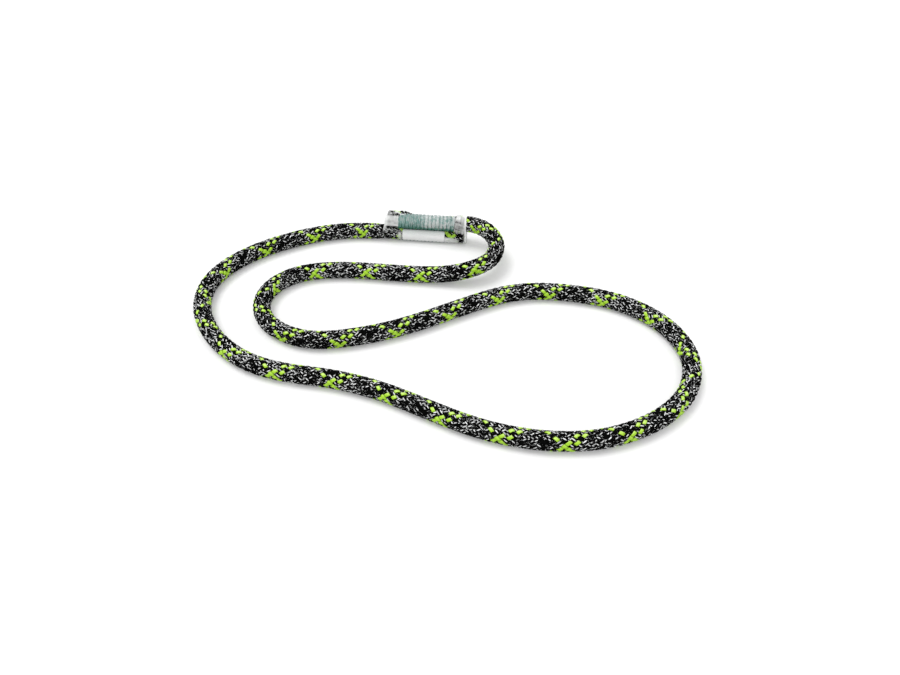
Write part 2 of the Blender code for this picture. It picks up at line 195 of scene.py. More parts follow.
# Label strip on the front of the lower rope
LABEL_LENGTH = 0.0280
LABEL_MIDDLE = -0.0006
LABEL_THICKNESS = 0.00012
LABEL_GAP = 0.00006
LABEL_TOP_ANGLE = math.radians(64.0)
LABEL_BOTTOM_ANGLE = math.radians(-53.0)
LABEL_CORNER = 0.0011
LABEL_COLUMNS = 60
LABEL_ROWS = 28
LABEL_WAVE = 0.00003
LABEL_WAVE_LENGTH = 0.0042

# Clear sleeve
FILM_WALL = 0.00015
FILM_LEFT_BACK = -0.0236
FILM_LEFT_FRONT = -0.0260
FILM_LEFT_BOTTOM = -0.0276
FILM_RIGHT = 0.0276
FILM_WAIST_SAG = 0.0005
FILM_RIPPLE = 0.00007
FILM_END_ROOM = 0.00013
BULGE_COVER = 0.00018
FILM_STATIONS = 260
FILM_ARC_STEPS = 40
FILM_SIDE_STEPS = 14
FILM_THREAD_SHARE = 0.55
FILM_END_TAPER = 0.03
FILM_MOUTH_PINCH = 0.05
FILM_LOWER_GAP = 0.00006
FILM_UNDER_GAP = 0.00035
FILM_LABEL_START = (-0.0165, -0.0145)
FILM_LABEL_END = (0.0135, 0.0155)
FILM_EDGE_ACROSS = (-0.0045, 0.0025)
FILM_EDGE_ABOVE = (0.0080, 0.0160)
WRINKLES = 14
WRINKLE_PULL = (150.0, 620.0)
WRINKLE_LEAN = (-420.0, 420.0)
WRINKLE_SHARES = (0.2, 1.0)
WRINKLE_HEIGHT = 0.000022

# Milky places of the film and places of painted highlight on it, in millimetres along the joint, across it
# and
# above the floor: where each fades in or out, or the middle of a spot and its half width
# SEAM_CREST, RIGHT_TOP, RIGHT_MOUTH and RIGHT_RIM place painted highlights on the film, not milkiness;
# SEAM_TOP thins the seam's haze over its top, which paints shade there
FRONT = {"across out": (0.5, 2.5)}
LOW_FRONT = {"across out": (-1.5, 1.0)}
LEFT_END = {**FRONT, "along out": (-17.4, -16.6), "above in": (12.2, 13.8), "above out": (19.0, 20.3)}
LEFT_WORN = {**LEFT_END, "above near": (17.2, 3.4), "along in": (-25.0, -22.6)}
LEFT_FLAP = {**FRONT, "along out": (-26.2, -24.6), "above near": (13.0, 4.5)}
OVER_HUMP = {"across in": (-1.2, 0.2), "across out": (0.4, 1.4), "above in": (16.0, 18.0)}
HUMP = {**OVER_HUMP, "along in": (-20.5, -18.5), "along out": (-15.0, -11.5)}
BESIDE_LABEL = {**LOW_FRONT, "along near": (-16.3, 1.9), "above near": (5.6, 4.0)}
UNDER_LIME = {**LOW_FRONT, "along in": (12.6, 13.6), "along out": (16.0, 21.5), "above out": (5.2, 7.4)}
BY_CUT_END = {**LOW_FRONT, "along near": (21.0, 2.4), "above out": (4.5, 7.5)}
SEAM_CREST = {"along in": (-3.0, 1.0), "along out": (18.5, 20.5), "above in": (18.0, 19.6)}
UPPER_END_TOP = {"along out": (-19.0, -17.5), "above in": (14.0, 16.5)}
OVER_CREST = {"above in": (18.8, 20.2)}
BEHIND_CREST = {"across in": (0.5, 2.0)}
RIGHT_END = {"along in": (17.8, 21.2), "above in": (8.4, 10.8)}
RIGHT_WORN = {"across in": (0.6, 2.0), "along out": (22.2, 24.0)}
RIGHT_TOP = {"above in": (17.8, 20.4)}
RIGHT_MOUTH = {"along in": (23.6, 26.2)}
RIGHT_RIM = {"along in": (26.3, 27.3)}
SEAM_FRONT = {"along in": (-18.5, -16.5), "along out": (18.5, 20.5), "above in": (11.4, 14.2)}
SEAM_TOP = {"above in": (16.6, 18.8)}
SEAM_GREY = {"along in": (-6.0, 2.0)}
SEAM_RIGHT = {"along in": (13.0, 18.0)}
MILKY_AND_HIGHLIGHT_PLACES = (
    *((0.86, LEFT_END), (-0.20, LEFT_WORN), (0.85, LEFT_FLAP), (0.80, HUMP)),
    *((0.62, BESIDE_LABEL), (0.80, UNDER_LIME), (0.60, BY_CUT_END), (0.12, SEAM_CREST)),
)
LEAST_HAZE = 0.02
FULL_HAZE = 0.96

# How the yarns are marked. The pairs are how far a value varies by chance, and its lowest
BLACK_LEVEL = 0.002
# LIFT_DARK, LIFT_FULL and DIPPED_SHADE set the painted shade where yarn dips under its neighbours
LIFT_DARK = 0.05
LIFT_FULL = 0.50
DIPPED_SHADE = 0.30
FLECK_SHARE = 0.68
DARK_FLECK_SHARE = 0.33
FLECKS_PER_CELL = 0.64
FLECK_SHIFT_PER_PLY = 0.5
FLECK_SHIFT_PER_CARRIER = 0.37
FLECK_LEAN = 0.26
FLECK_HALF_WIDTH = 0.37
FLECK_EDGE = 0.80
FLECK_MIDDLE = (0.30, 0.35)
FLECK_HALF_LENGTH = (0.20, 0.15)
FLECK_LEVEL = (0.50, 0.50)
FILAMENT_RELIEF = 0.00012

# Colours
BLACK = (0.0, 0.0, 0.0, 1.0)
WHITE = (1.0, 1.0, 1.0, 1.0)
LIME_DARK = (0.31, 0.57, 0.012, 1.0)
LIME_BRIGHT = (0.49, 0.84, 0.038, 1.0)
# Painted highlight colour of the lime yarn
LIME_HIGHLIGHT = (0.72, 0.91, 0.32, 1.0)
INNER_COLOURS = ((0.002, 0.002, 0.002, 1.0), (0.008, 0.008, 0.008, 1.0))
CORE_COLOURS = ((0.42, 0.40, 0.34, 1.0), (0.72, 0.70, 0.63, 1.0))
MELTED_COLOURS = ((0.015, 0.015, 0.015, 1.0), (0.20, 0.20, 0.19, 1.0))
LABEL_COLOURS = ((0.94, 0.94, 0.94, 1.0), (0.97, 0.97, 0.97, 1.0))
# The thread's deep colour is painted shade low down and also its fine random tone; its pale colour is a
# painted glint; the top shade is painted shade over its top
THREAD_DEEP = (0.012, 0.128, 0.084, 1.0)
THREAD_MIDDLE = (0.235, 0.395, 0.37, 1.0)
THREAD_GLINT = (0.53, 0.57, 0.57, 1.0)
THREAD_TOP_SHADE = 0.72
FILM_COLOUR = (0.92, 0.93, 0.925, 1.0)
FILM_TINT = (0.985, 0.99, 0.988, 1.0)
# Strength of the painted reflection at the film's grazing edges
FILM_EDGE_REFLECTION = 0.20
FILM_CLOUDS = 620.0
FILM_STREAKS = 260.0
FILM_RAGGEDNESS = 1.1
MOST_HAZE = 0.97

# Floor and light
FLOOR_COLOUR = (0.81, 0.81, 0.81, 1.0)
FLOOR_BOUNCE = (0.64, 0.64, 0.64, 1.0)
FLOOR_GLOW = 0.15
FLOOR_HALF = 3.0
SKY_TOP = 1.02
SKY_LOW = 0.40
FRONT_FILL = 0.45
SUN_STRENGTH = 1.28
SUN_SOFTNESS = math.radians(32.0)
SUN_ELEVATION = math.radians(64.0)
SUN_FROM = math.radians(159.0)

UP = np.array((0.0, 0.0, 1.0))
JOINT_AXIS = np.array((math.cos(JOINT_TURN), math.sin(JOINT_TURN), 0.0))
JOINT_BACK = np.array((-math.sin(JOINT_TURN), math.cos(JOINT_TURN), 0.0))
STITCH_PITCH = (SEAM_END - SEAM_START) / STITCHES


# Helpers

def in_joint(along, back, up):
    """The point at this distance along the joint, towards its back and above the floor."""
    along, back, up = (np.asarray(value, float)[..., None] for value in (along, back, up))
    return JOINT_AXIS * along + JOINT_BACK * back + UP * up


def smooth_step(value, low, high):
    share = np.clip((value - low) / (high - low), 0.0, 1.0)
    return share * share * (3.0 - 2.0 * share)


def fade_out(value, low, high):
    return 1.0 - smooth_step(value, low, high)


def bump(value, middle, half_width):
    return np.exp(-(((value - middle) / half_width) ** 2))


def seam_grip(along):
    """How far the seam squeezes the upper rope at these places of the joint."""
    start = smooth_step(along, SEAM_START - SEAM_TAPER, SEAM_START)
    return start * fade_out(along, SEAM_END, SEAM_END + SEAM_TAPER)


def seam_bulge(along):
    """How far the upper rope swells out over the stitches, behind its crest, at both ends of the seam."""
    left = LEFT_BULGE * fade_out(along, *LEFT_BULGE_REACH)
    right = RIGHT_BULGE * smooth_step(along, *RIGHT_BULGE_REACH)
    return seam_grip(along) * (left + right)


def upper_free_end(along):
    """1 where the upper rope's end sticks out of the seam, 0 from the first stitch on."""
    return fade_out(along, SEAM_START - SEAM_TAPER, SEAM_START)


def bulge_share(angles):
    """The share of the bulge round the upper rope, from its back over its crest."""
    return np.exp((np.cos(angles - BULGE_ANGLE) - 1.0) / BULGE_SPREAD)


def unit(vectors):
    """Vectors made one long."""
    return vectors / np.linalg.norm(vectors, axis=1)[:, None]


def circle(count):
    """Even angles all the way round."""
    return np.linspace(0.0, FULL_TURN, count, endpoint=False)


def distances(line):
    """How far along a line each of its points lies."""
    return np.concatenate([[0.0], np.cumsum(np.linalg.norm(np.diff(line, axis=0), axis=1))])


def mesh_object(name, points, faces, material, smooth=True):
    """A mesh piece from an array of points and a list of arrays of faces of the same size."""
    mesh = bpy.data.meshes.new(name)
    sizes = np.concatenate([np.full(len(part), part.shape[1]) for part in faces])
    corners = np.concatenate([part.ravel() for part in faces])
    starts = np.concatenate([[0], np.cumsum(sizes)[:-1]])
    mesh.vertices.add(len(points))
    mesh.vertices.foreach_set("co", np.asarray(points, np.float32).ravel())
    mesh.loops.add(len(corners))
    mesh.loops.foreach_set("vertex_index", corners.astype(np.int32))
    mesh.polygons.add(len(sizes))
    mesh.polygons.foreach_set("loop_start", starts.astype(np.int32))
    mesh.polygons.foreach_set("use_smooth", np.full(len(sizes), smooth))
    mesh.update(calc_edges=True)
    mesh.validate()
    mesh.materials.append(material)
    made = bpy.data.objects.new(name, mesh)
    bpy.context.scene.collection.objects.link(made)
    return made


def loft_faces(rings, sides, outward=True):
    """Quads between rings of points, closed round, with both ends capped."""
    grid = np.arange(rings * sides).reshape(rings, sides)
    turned = np.roll(grid, -1, axis=1)
    quads = np.stack([grid[:-1], grid[1:], turned[1:], turned[:-1]], axis=-1).reshape(-1, 4)
    first, last = grid[:1], grid[-1:]
    if outward:
        return [quads, first, last[:, ::-1]]
    return [quads[:, ::-1], first[:, ::-1], last]


def band(edge, shift):
    """Quads between a closed edge and its copy, whose points come this much later."""
    following = np.roll(edge, -1)
    return np.stack([edge, following, following + shift, edge + shift], axis=1)


def add_attribute(made, name, values):
    """A value or a vector for each point of a mesh, which its material reads."""
    vectors = values.size == 3 * len(made.data.vertices)
    attribute = made.data.attributes.new(name, "FLOAT_VECTOR" if vectors else "FLOAT", "POINT")
    attribute.data.foreach_set("vector" if vectors else "value", values.astype(np.float32).ravel())


# Cord line

def smooth_curve(points, first_slope, last_slope):
    """Points of a cubic spline through the given points, with both end slopes given."""
    knots = np.array(points)
    spans = np.linalg.norm(np.diff(knots, axis=0), axis=1)
    count = len(knots)
    system = np.eye(count)
    slopes = np.zeros((count, 3))
    slopes[0] = first_slope
    slopes[-1] = last_slope
    for i in range(1, count - 1):
        before, after = spans[i - 1], spans[i]
        system[i, i - 1 : i + 2] = after, 2 * (before + after), before
        rise_before = (knots[i] - knots[i - 1]) / before
        rise_after = (knots[i + 1] - knots[i]) / after
        slopes[i] = 3 * (after * rise_before + before * rise_after)
    slopes = np.linalg.solve(system, slopes)
    pieces = []
    for i, span in enumerate(spans):
        t = np.linspace(0.0, 1.0, CURVE_POINTS_PER_SPAN, endpoint=False)[:, None]
        start = (2 * t**3 - 3 * t**2 + 1) * knots[i] + (t**3 - 2 * t**2 + t) * span * slopes[i]
        end = (3 * t**2 - 2 * t**3) * knots[i + 1] + (t**3 - t**2) * span * slopes[i + 1]
        pieces.append(start + end)
    return np.vstack([*pieces, knots[-1:]])


def spaced_evenly(line, step):
    along = distances(line)
    places = np.linspace(0.0, along[-1], int(round(along[-1] / step)) + 1)
    return np.stack([np.interp(places, along, line[:, axis]) for axis in range(3)], axis=1), places


class Cord:
    """The cord's middle line, the directions across it and its section's size, by distance from its lower cut
    end."""

    def __init__(self):
        climb = UPPER_LOOSE_HEIGHT - FREE_HEIGHT
        knots = [in_joint(LOWER_MOUTH, 0.0, FREE_HEIGHT)]
        route = [(x, y, 0.0) for x, y in FLOOR_ROUTE] + CLIMB_ROUTE
        knots += [np.array((x, y, FREE_HEIGHT + share * climb)) for x, y, share in route]
        knots += [in_joint(UPPER_MOUTH, 0.0, UPPER_LOOSE_HEIGHT)]
        free = smooth_curve(knots, -JOINT_AXIS, -JOINT_AXIS)
        lower = in_joint(np.linspace(LOWER_CUT_END, LOWER_MOUTH, 200)[:-1], 0.0, FREE_HEIGHT)
        upper = in_joint(np.linspace(UPPER_MOUTH, UPPER_CUT_END, 200)[1:], 0.0, UPPER_LOOSE_HEIGHT)
        self.line, self.places = spaced_evenly(np.vstack([lower, free, upper]), PATH_STEP)
        self.length = self.places[-1]
        lower_end = LOWER_CUT_END - LOWER_MOUTH
        self.lower_grip = fade_out(self.places, lower_end - 0.2 * MOUTH_TAPER, lower_end + MOUTH_TAPER)
        upper_along = UPPER_CUT_END + self.length - self.places
        self.upper_grip = seam_grip(upper_along)
        self.bulge = seam_bulge(upper_along)
        end_shift = JOINT_BACK * UPPER_END_BACK + UP * UPPER_END_UP
        self.line += upper_free_end(upper_along)[:, None] * end_shift
        self.line[:, 2] += self.lower_grip * (LOWER_HEIGHT - FREE_HEIGHT)
        self.line[:, 2] += self.upper_grip * (UPPER_HEIGHT - UPPER_LOOSE_HEIGHT)
        self.side_size = self.section_size(LOWER_SIDE_RADIUS, UPPER_SIDE_RADIUS)
        self.rise_size = self.section_size(LOWER_RISE_RADIUS, UPPER_RISE_RADIUS)
        self.ahead = unit(np.gradient(self.line, axis=0))
        self.side = unit(np.cross(self.ahead, UP))
        self.rise = np.cross(self.side, self.ahead)
        self.turns, self.roll = self.count_braid()

    def section_size(self, lower_radius, upper_radius):
        lower = self.lower_grip * (lower_radius / BRAID_RADIUS - 1.0)
        upper = self.upper_grip * (upper_radius / BRAID_RADIUS - 1.0)
        return 1.0 + lower + upper

    def at(self, values, places):
        if values.ndim == 1:
            return np.interp(places, self.places, values)
        return np.stack([np.interp(places, self.places, values[:, axis]) for axis in range(3)], axis=-1)

    def surface(self, places, angles, radii):
        """Points at these distances along the cord, angles round it and distances from its middle."""
        radii = radii + self.at(self.bulge, places) * bulge_share(angles)
        across = (self.at(self.side_size, places) * radii * np.cos(angles))[..., None]
        above = (self.at(self.rise_size, places) * radii * np.sin(angles))[..., None]
        middle = self.at(self.line, places)
        return middle + across * self.at(self.side, places) + above * self.at(self.rise, places)

    def find_mark(self, count, mark_x, mark_y):
        """The place and angle of the point of the cord's visible surface that shows at a picture point."""
        guess = FIRST_MARK_PLACE + BRAID_PITCH * count
        places = np.clip(guess + np.linspace(-MARK_WINDOW, MARK_WINDOW, MARK_PLACES), 0.0, self.length)
        angles = np.linspace(-math.pi, math.pi, MARK_ANGLES, endpoint=False)
        places, angles = (grid.ravel() for grid in np.meshgrid(places, angles))
        points = self.surface(places, angles, np.full(len(places), BRAID_RADIUS))
        outward = points - self.at(self.line, places)
        towards_eye = np.array(CAMERA_PLACE) - points
        facing = (outward * towards_eye).sum(axis=1) > 0.0
        picture_x, picture_y = in_picture(points)
        away = np.hypot(picture_x - mark_x, picture_y - mark_y)
        nearest = int(np.where(facing, away, np.inf).argmin())
        return places[nearest], angles[nearest]

    def count_braid(self):
        """The braid's turns and its roll along the cord, so that its lime marks show where the photograph has
        them."""
        turns = [mark[0] for mark in BRAID_MARKS]
        places, angles = zip(*(self.find_mark(*mark) for mark in BRAID_MARKS))
        rolls = [math.remainder(angle - FULL_TURN * turn, FULL_TURN) for angle, turn in zip(angles, turns)]
        rolls = np.unwrap(rolls)
        first_turn = turns[0] - places[0] / JOINT_BRAID_PITCH
        last_turn = turns[-1] + (self.length - places[-1]) / BRAID_PITCH
        upper_along = UPPER_CUT_END + self.length - self.places
        end_share = fade_out(upper_along, *UPPER_END_ROLL_REACH)
        roll = np.interp(self.places, places, rolls) + UPPER_END_ROLL * end_share
        turns = np.interp(self.places, [0.0, *places, self.length], [first_turn, *turns, last_turn])
        return turns + UPPER_END_TURN * end_share, roll


def in_picture(points):
    """Where points of the row frame show in the photograph, in pixels."""
    offset = points - np.array(CAMERA_PLACE)
    sine, cosine = math.sin(CAMERA_TILT), math.cos(CAMERA_TILT)
    depth = offset[:, 1] * sine - offset[:, 2] * cosine
    rise = offset[:, 1] * cosine + offset[:, 2] * sine
    return (
        PICTURE_WIDTH / 2 + FOCAL_PIXELS * offset[:, 0] / depth,
        PICTURE_HEIGHT / 2 - FOCAL_PIXELS * rise / depth,
    )


# Materials

class Nodes:
    """Short names for making the nodes of a material or of the world."""

    def __init__(self, owner):
        self.material = bpy.data.materials.new(owner) if isinstance(owner, str) else owner
        self.material.use_nodes = True
        self.tree = self.material.node_tree
        self.tree.nodes.clear()
        is_world = isinstance(self.material, bpy.types.World)
        self.output = self.tree.nodes.new("ShaderNodeOutputWorld" if is_world else "ShaderNodeOutputMaterial")

    def add(self, kind, inputs=(), **settings):
        node = self.tree.nodes.new(kind)
        for name, value in settings.items():
            setattr(node, name, value)
        for name, value in dict(inputs).items():
            self.put(node.inputs[name], value)
        return node

    def put(self, socket, value):
        if isinstance(value, bpy.types.NodeSocket):
            self.tree.links.new(value, socket)
        else:
            socket.default_value = value

    def math(self, operation, *values):
        return self.add("ShaderNodeMath", enumerate(values), operation=operation).outputs[0]

    def times(self, first, second):
        return self.math("MULTIPLY", first, second)

    def ramp(self, value, low, high, first=0.0, last=1.0):
        inputs = {"Value": value, "From Min": low, "From Max": high, "To Min": first, "To Max": last}
        node = self.add("ShaderNodeMapRange", inputs, interpolation_type="SMOOTHSTEP")
        return node.outputs["Result"]

    def mix(self, share, first, second):
        node = self.add("ShaderNodeMix", data_type="RGBA")
        self.put(node.inputs[0], share)
        self.put(node.inputs[6], first)
        self.put(node.inputs[7], second)
        return node.outputs[2]

    def combine(self, x, y, z):
        return self.add("ShaderNodeCombineXYZ", enumerate((x, y, z))).outputs[0]

    def split(self, vector):
        return self.add("ShaderNodeSeparateXYZ", {"Vector": vector}).outputs[:3]

    def attribute(self, name, output):
        return self.add("ShaderNodeAttribute", attribute_name=name).outputs[output]

    def object_place(self):
        return self.add("ShaderNodeTexCoord").outputs["Object"]

    def seen(self):
        """1 for rays that the camera sees directly, in gloss or through the film, and 0 for light."""
        path = self.add("ShaderNodeLightPath")
        direct = self.math("MAXIMUM", path.outputs["Is Camera Ray"], path.outputs["Is Glossy Ray"])
        return self.math("MAXIMUM", direct, path.outputs["Is Transmission Ray"])

    def noise(self, vector, scale, detail=2.0):
        inputs = {"Vector": vector, "Scale": scale, "Detail": detail}
        return self.add("ShaderNodeTexNoise", inputs).outputs["Fac"]

    def surface(self, colour, roughness, shine, normal=None):
        inputs = {"Base Color": colour, "Roughness": roughness, "Specular IOR Level": shine}
        if normal is not None:
            inputs["Normal"] = normal
        return self.add("ShaderNodeBsdfPrincipled", inputs).outputs[0]

    def show(self, shader):
        self.put(self.output.inputs["Surface"], shader)
        return self.material

    def fabric(self, *looks):
        return self.show(self.surface(*looks))

    def relief(self, height, distance, strength=0.6):
        inputs = {"Height": height, "Distance": distance, "Strength": strength}
        return self.add("ShaderNodeBump", inputs).outputs["Normal"]


def filaments(nodes, along, across, carrier):
    """Fine filaments along a ply, slanted by its twist."""
    slanted = nodes.math("ADD", nodes.times(across, 7.0), nodes.times(along, 5.0))
    return nodes.noise(nodes.combine(nodes.times(along, 1.6), slanted, carrier), 1.0, 3.0)


def shade_by_lift(nodes, colour):
    """Paints shade on yarn where it dips under its neighbours."""
    lift = nodes.attribute("lift", "Fac")
    return nodes.mix(nodes.ramp(lift, LIFT_DARK, LIFT_FULL, DIPPED_SHADE, 1.0), BLACK, colour)


def flecked_yarn(name, fleck_share):
    """Black yarn with pale strokes where a pale strand of a twisted ply comes to the top."""
    nodes = Nodes(name)
    # The lay is the place along the yarn in braid cells, across it in plies, and the carrier's number
    along, across, carrier = nodes.split(nodes.attribute("yarn_lay", "Vector"))
    ply = nodes.math("FLOOR", across)
    place = nodes.math("SUBTRACT", nodes.math("FRACT", across), 0.5)
    carrier_shift = nodes.times(carrier, FLECK_SHIFT_PER_CARRIER)
    shift = nodes.math("MULTIPLY_ADD", ply, FLECK_SHIFT_PER_PLY, carrier_shift)
    slots = nodes.math("MULTIPLY_ADD", along, FLECKS_PER_CELL, shift)
    slot = nodes.combine(nodes.math("FLOOR", slots), ply, carrier)
    chance = nodes.add("ShaderNodeTexWhiteNoise", {"Vector": slot})
    chances = nodes.add("ShaderNodeSeparateColor", {"Color": chance.outputs["Color"]}).outputs
    middle = nodes.math("MULTIPLY_ADD", chances[0], *FLECK_MIDDLE)
    half_length = nodes.math("MULTIPLY_ADD", chances[1], *FLECK_HALF_LENGTH)
    offset = nodes.math("SUBTRACT", nodes.math("FRACT", slots), middle)
    offset = nodes.math("DIVIDE", nodes.math("MULTIPLY_ADD", place, FLECK_LEAN, offset), half_length)
    sideways = nodes.math("DIVIDE", place, FLECK_HALF_WIDTH)
    away = nodes.math("ADD", nodes.times(offset, offset), nodes.times(sideways, sideways))
    present = nodes.math("LESS_THAN", chance.outputs["Value"], fleck_share)
    stroke = nodes.times(nodes.ramp(away, FLECK_EDGE, 1.0, 1.0, 0.0), present)
    fine = filaments(nodes, along, across, carrier)
    level = nodes.math("MULTIPLY_ADD", chances[2], *FLECK_LEVEL)
    level = nodes.times(level, nodes.ramp(fine, 0.25, 0.75, 0.88, 1.03))
    pale = nodes.combine(nodes.times(level, 0.985), level, level)
    dark_level = nodes.ramp(fine, 0.3, 0.8, BLACK_LEVEL, 3.0 * BLACK_LEVEL)
    dark = nodes.combine(dark_level, nodes.times(dark_level, 1.02), dark_level)
    colour = shade_by_lift(nodes, nodes.mix(stroke, dark, pale))
    return nodes.fabric(colour, 0.50, nodes.times(stroke, 0.30), nodes.relief(fine, FILAMENT_RELIEF))


def lime_yarn():
    """Lime green yarn, with a painted highlight in broad patches where its filaments face up."""
    nodes = Nodes("lime_yarn")
    along, across, carrier = nodes.split(nodes.attribute("yarn_lay", "Vector"))
    fine = filaments(nodes, along, across, carrier)
    broad = nodes.noise(nodes.combine(along, across, carrier), 0.9, 1.0)
    colour = nodes.mix(nodes.ramp(fine, 0.25, 0.75), LIME_DARK, LIME_BRIGHT)
    relief = nodes.relief(fine, FILAMENT_RELIEF)
    # Painted highlight: the yarn turns pale where its bumped surface faces up
    facing_up = nodes.split(relief)[2]
    pale = nodes.times(nodes.ramp(facing_up, 0.62, 0.98), nodes.ramp(broad, 0.30, 0.65, 0.15, 0.70))
    return nodes.fabric(shade_by_lift(nodes, nodes.mix(pale, colour, LIME_HIGHLIGHT)), 0.38, 0.40, relief)


def speckled(name, colours, scale, roughness, detail=3.0, low=0.35, shine=0.3, relief=None):
    """A material that is finely speckled between two colours."""
    nodes = Nodes(name)
    speckle = nodes.noise(nodes.object_place(), scale, detail)
    colour = nodes.mix(nodes.ramp(speckle, low, 0.7), *colours)
    return nodes.fabric(colour, roughness, shine, nodes.relief(speckle, relief) if relief else None)


def thread_material(name):
    """Teal thread with painted shade, deeper green low down, on the sides of its plies, in the bed beneath
    and a little over its top, and with painted pale glints where its plies turn to the light.
    """
    nodes = Nodes(name)
    along, around, height = nodes.split(nodes.attribute("thread_lay", "Vector"))
    fine = nodes.noise(nodes.combine(along, nodes.times(around, 9.0), 0.0), 2.0, 3.0)
    broad = nodes.noise(nodes.combine(along, 0.0, 3.0), 0.55, 2.0)
    # The height is the thread's painted shade: low round the rope, on the sides of its plies and in the bed
    # it turns deeper green
    colour = nodes.mix(nodes.ramp(height, -0.66, 0.28), THREAD_DEEP, THREAD_MIDDLE)
    # Painted glints, where the thread lies high round the rope
    pale = nodes.times(nodes.ramp(broad, 0.38, 0.62), nodes.ramp(height, -0.30, 0.30))
    colour = nodes.mix(nodes.times(pale, 0.70), colour, THREAD_GLINT)
    colour = nodes.mix(nodes.ramp(fine, 0.35, 0.75, 0.0, 0.32), colour, THREAD_DEEP)
    # Painted shade over the very top of the thread
    colour = nodes.mix(nodes.ramp(height, 0.45, 1.0, 1.0, THREAD_TOP_SHADE), BLACK, colour)
    return nodes.fabric(colour, 0.42, 0.25, nodes.relief(fine, 0.0001))


def film_material():
    """Clear film, milky where its haze attribute says, which carries painted highlights too, and with a
    painted reflection where it turns away from the eye.
    """
    nodes = Nodes("sleeve_film")
    haze_and_highlight = nodes.attribute("haze_and_highlight", "Fac")
    place = nodes.object_place()
    cloud = nodes.noise(place, FILM_CLOUDS, 3.0)
    streak = nodes.noise(place, FILM_STREAKS, 1.0)
    ragged = nodes.math("MULTIPLY_ADD", nodes.math("SUBTRACT", cloud, 0.5), FILM_RAGGEDNESS, haze_and_highlight)
    cover = nodes.times(haze_and_highlight, nodes.ramp(ragged, 0.10, 0.42))
    cover = nodes.times(cover, nodes.ramp(streak, 0.30, 0.65, 0.78, 1.15))
    # Painted reflection: the film turns milky white where it turns away from the eye
    edge = nodes.add("ShaderNodeLayerWeight", {"Blend": 0.25}).outputs["Facing"]
    edge = nodes.times(nodes.math("POWER", edge, 3.0), FILM_EDGE_REFLECTION)
    cover = nodes.math("MINIMUM", nodes.math("ADD", cover, edge), MOST_HAZE)
    milky = nodes.surface(FILM_COLOUR, 0.22, 0.5, nodes.relief(cloud, 0.0003, 0.5))
    clear = nodes.add("ShaderNodeBsdfTransparent", {"Color": FILM_TINT}).outputs[0]
    return nodes.show(nodes.add("ShaderNodeMixShader", {0: cover, 1: clear, 2: milky}).outputs[0])


def floor_material():
    """Pale floor that shows white to the camera, keeps shadows and sends a little less light back up."""
    nodes = Nodes("floor")
    seen = nodes.seen()
    colour = nodes.mix(seen, FLOOR_BOUNCE, FLOOR_COLOUR)
    matt = nodes.add("ShaderNodeBsdfDiffuse", {"Color": colour, "Roughness": 0.0}).outputs[0]
    glow = nodes.add("ShaderNodeEmission", {"Strength": nodes.times(seen, FLOOR_GLOW)}).outputs[0]
    return nodes.show(nodes.add("ShaderNodeAddShader", {0: matt, 1: glow}).outputs[0])


# Camera

def make_camera():
    data = bpy.data.cameras.new("camera")
    data.lens = CAMERA_LENS
    data.sensor_width = CAMERA_SENSOR
    data.clip_start = 0.01
    data.clip_end = 50.0
    camera = bpy.data.objects.new("camera", data)
    camera.location = CAMERA_PLACE
    camera.rotation_euler = (CAMERA_TILT, 0.0, 0.0)
    bpy.context.scene.collection.objects.link(camera)
    bpy.context.scene.camera = camera


# Cord body

def make_body(cord, material):
    """The dark inside of the cover, which shows between the carriers."""
    places = np.linspace(0.0, cord.length, int(round(cord.length / BODY_STEP)) + 1)
    angles = circle(BODY_SIDES)
    place_grid, angle_grid = np.meshgrid(places, angles, indexing="ij")
    points = cord.surface(place_grid, angle_grid, np.full(place_grid.shape, BODY_RADIUS))
    faces = loft_faces(len(places), BODY_SIDES)
    return mesh_object("cord_body", points.reshape(-1, 3), faces, material), cord.at(cord.line, places)


# Braid

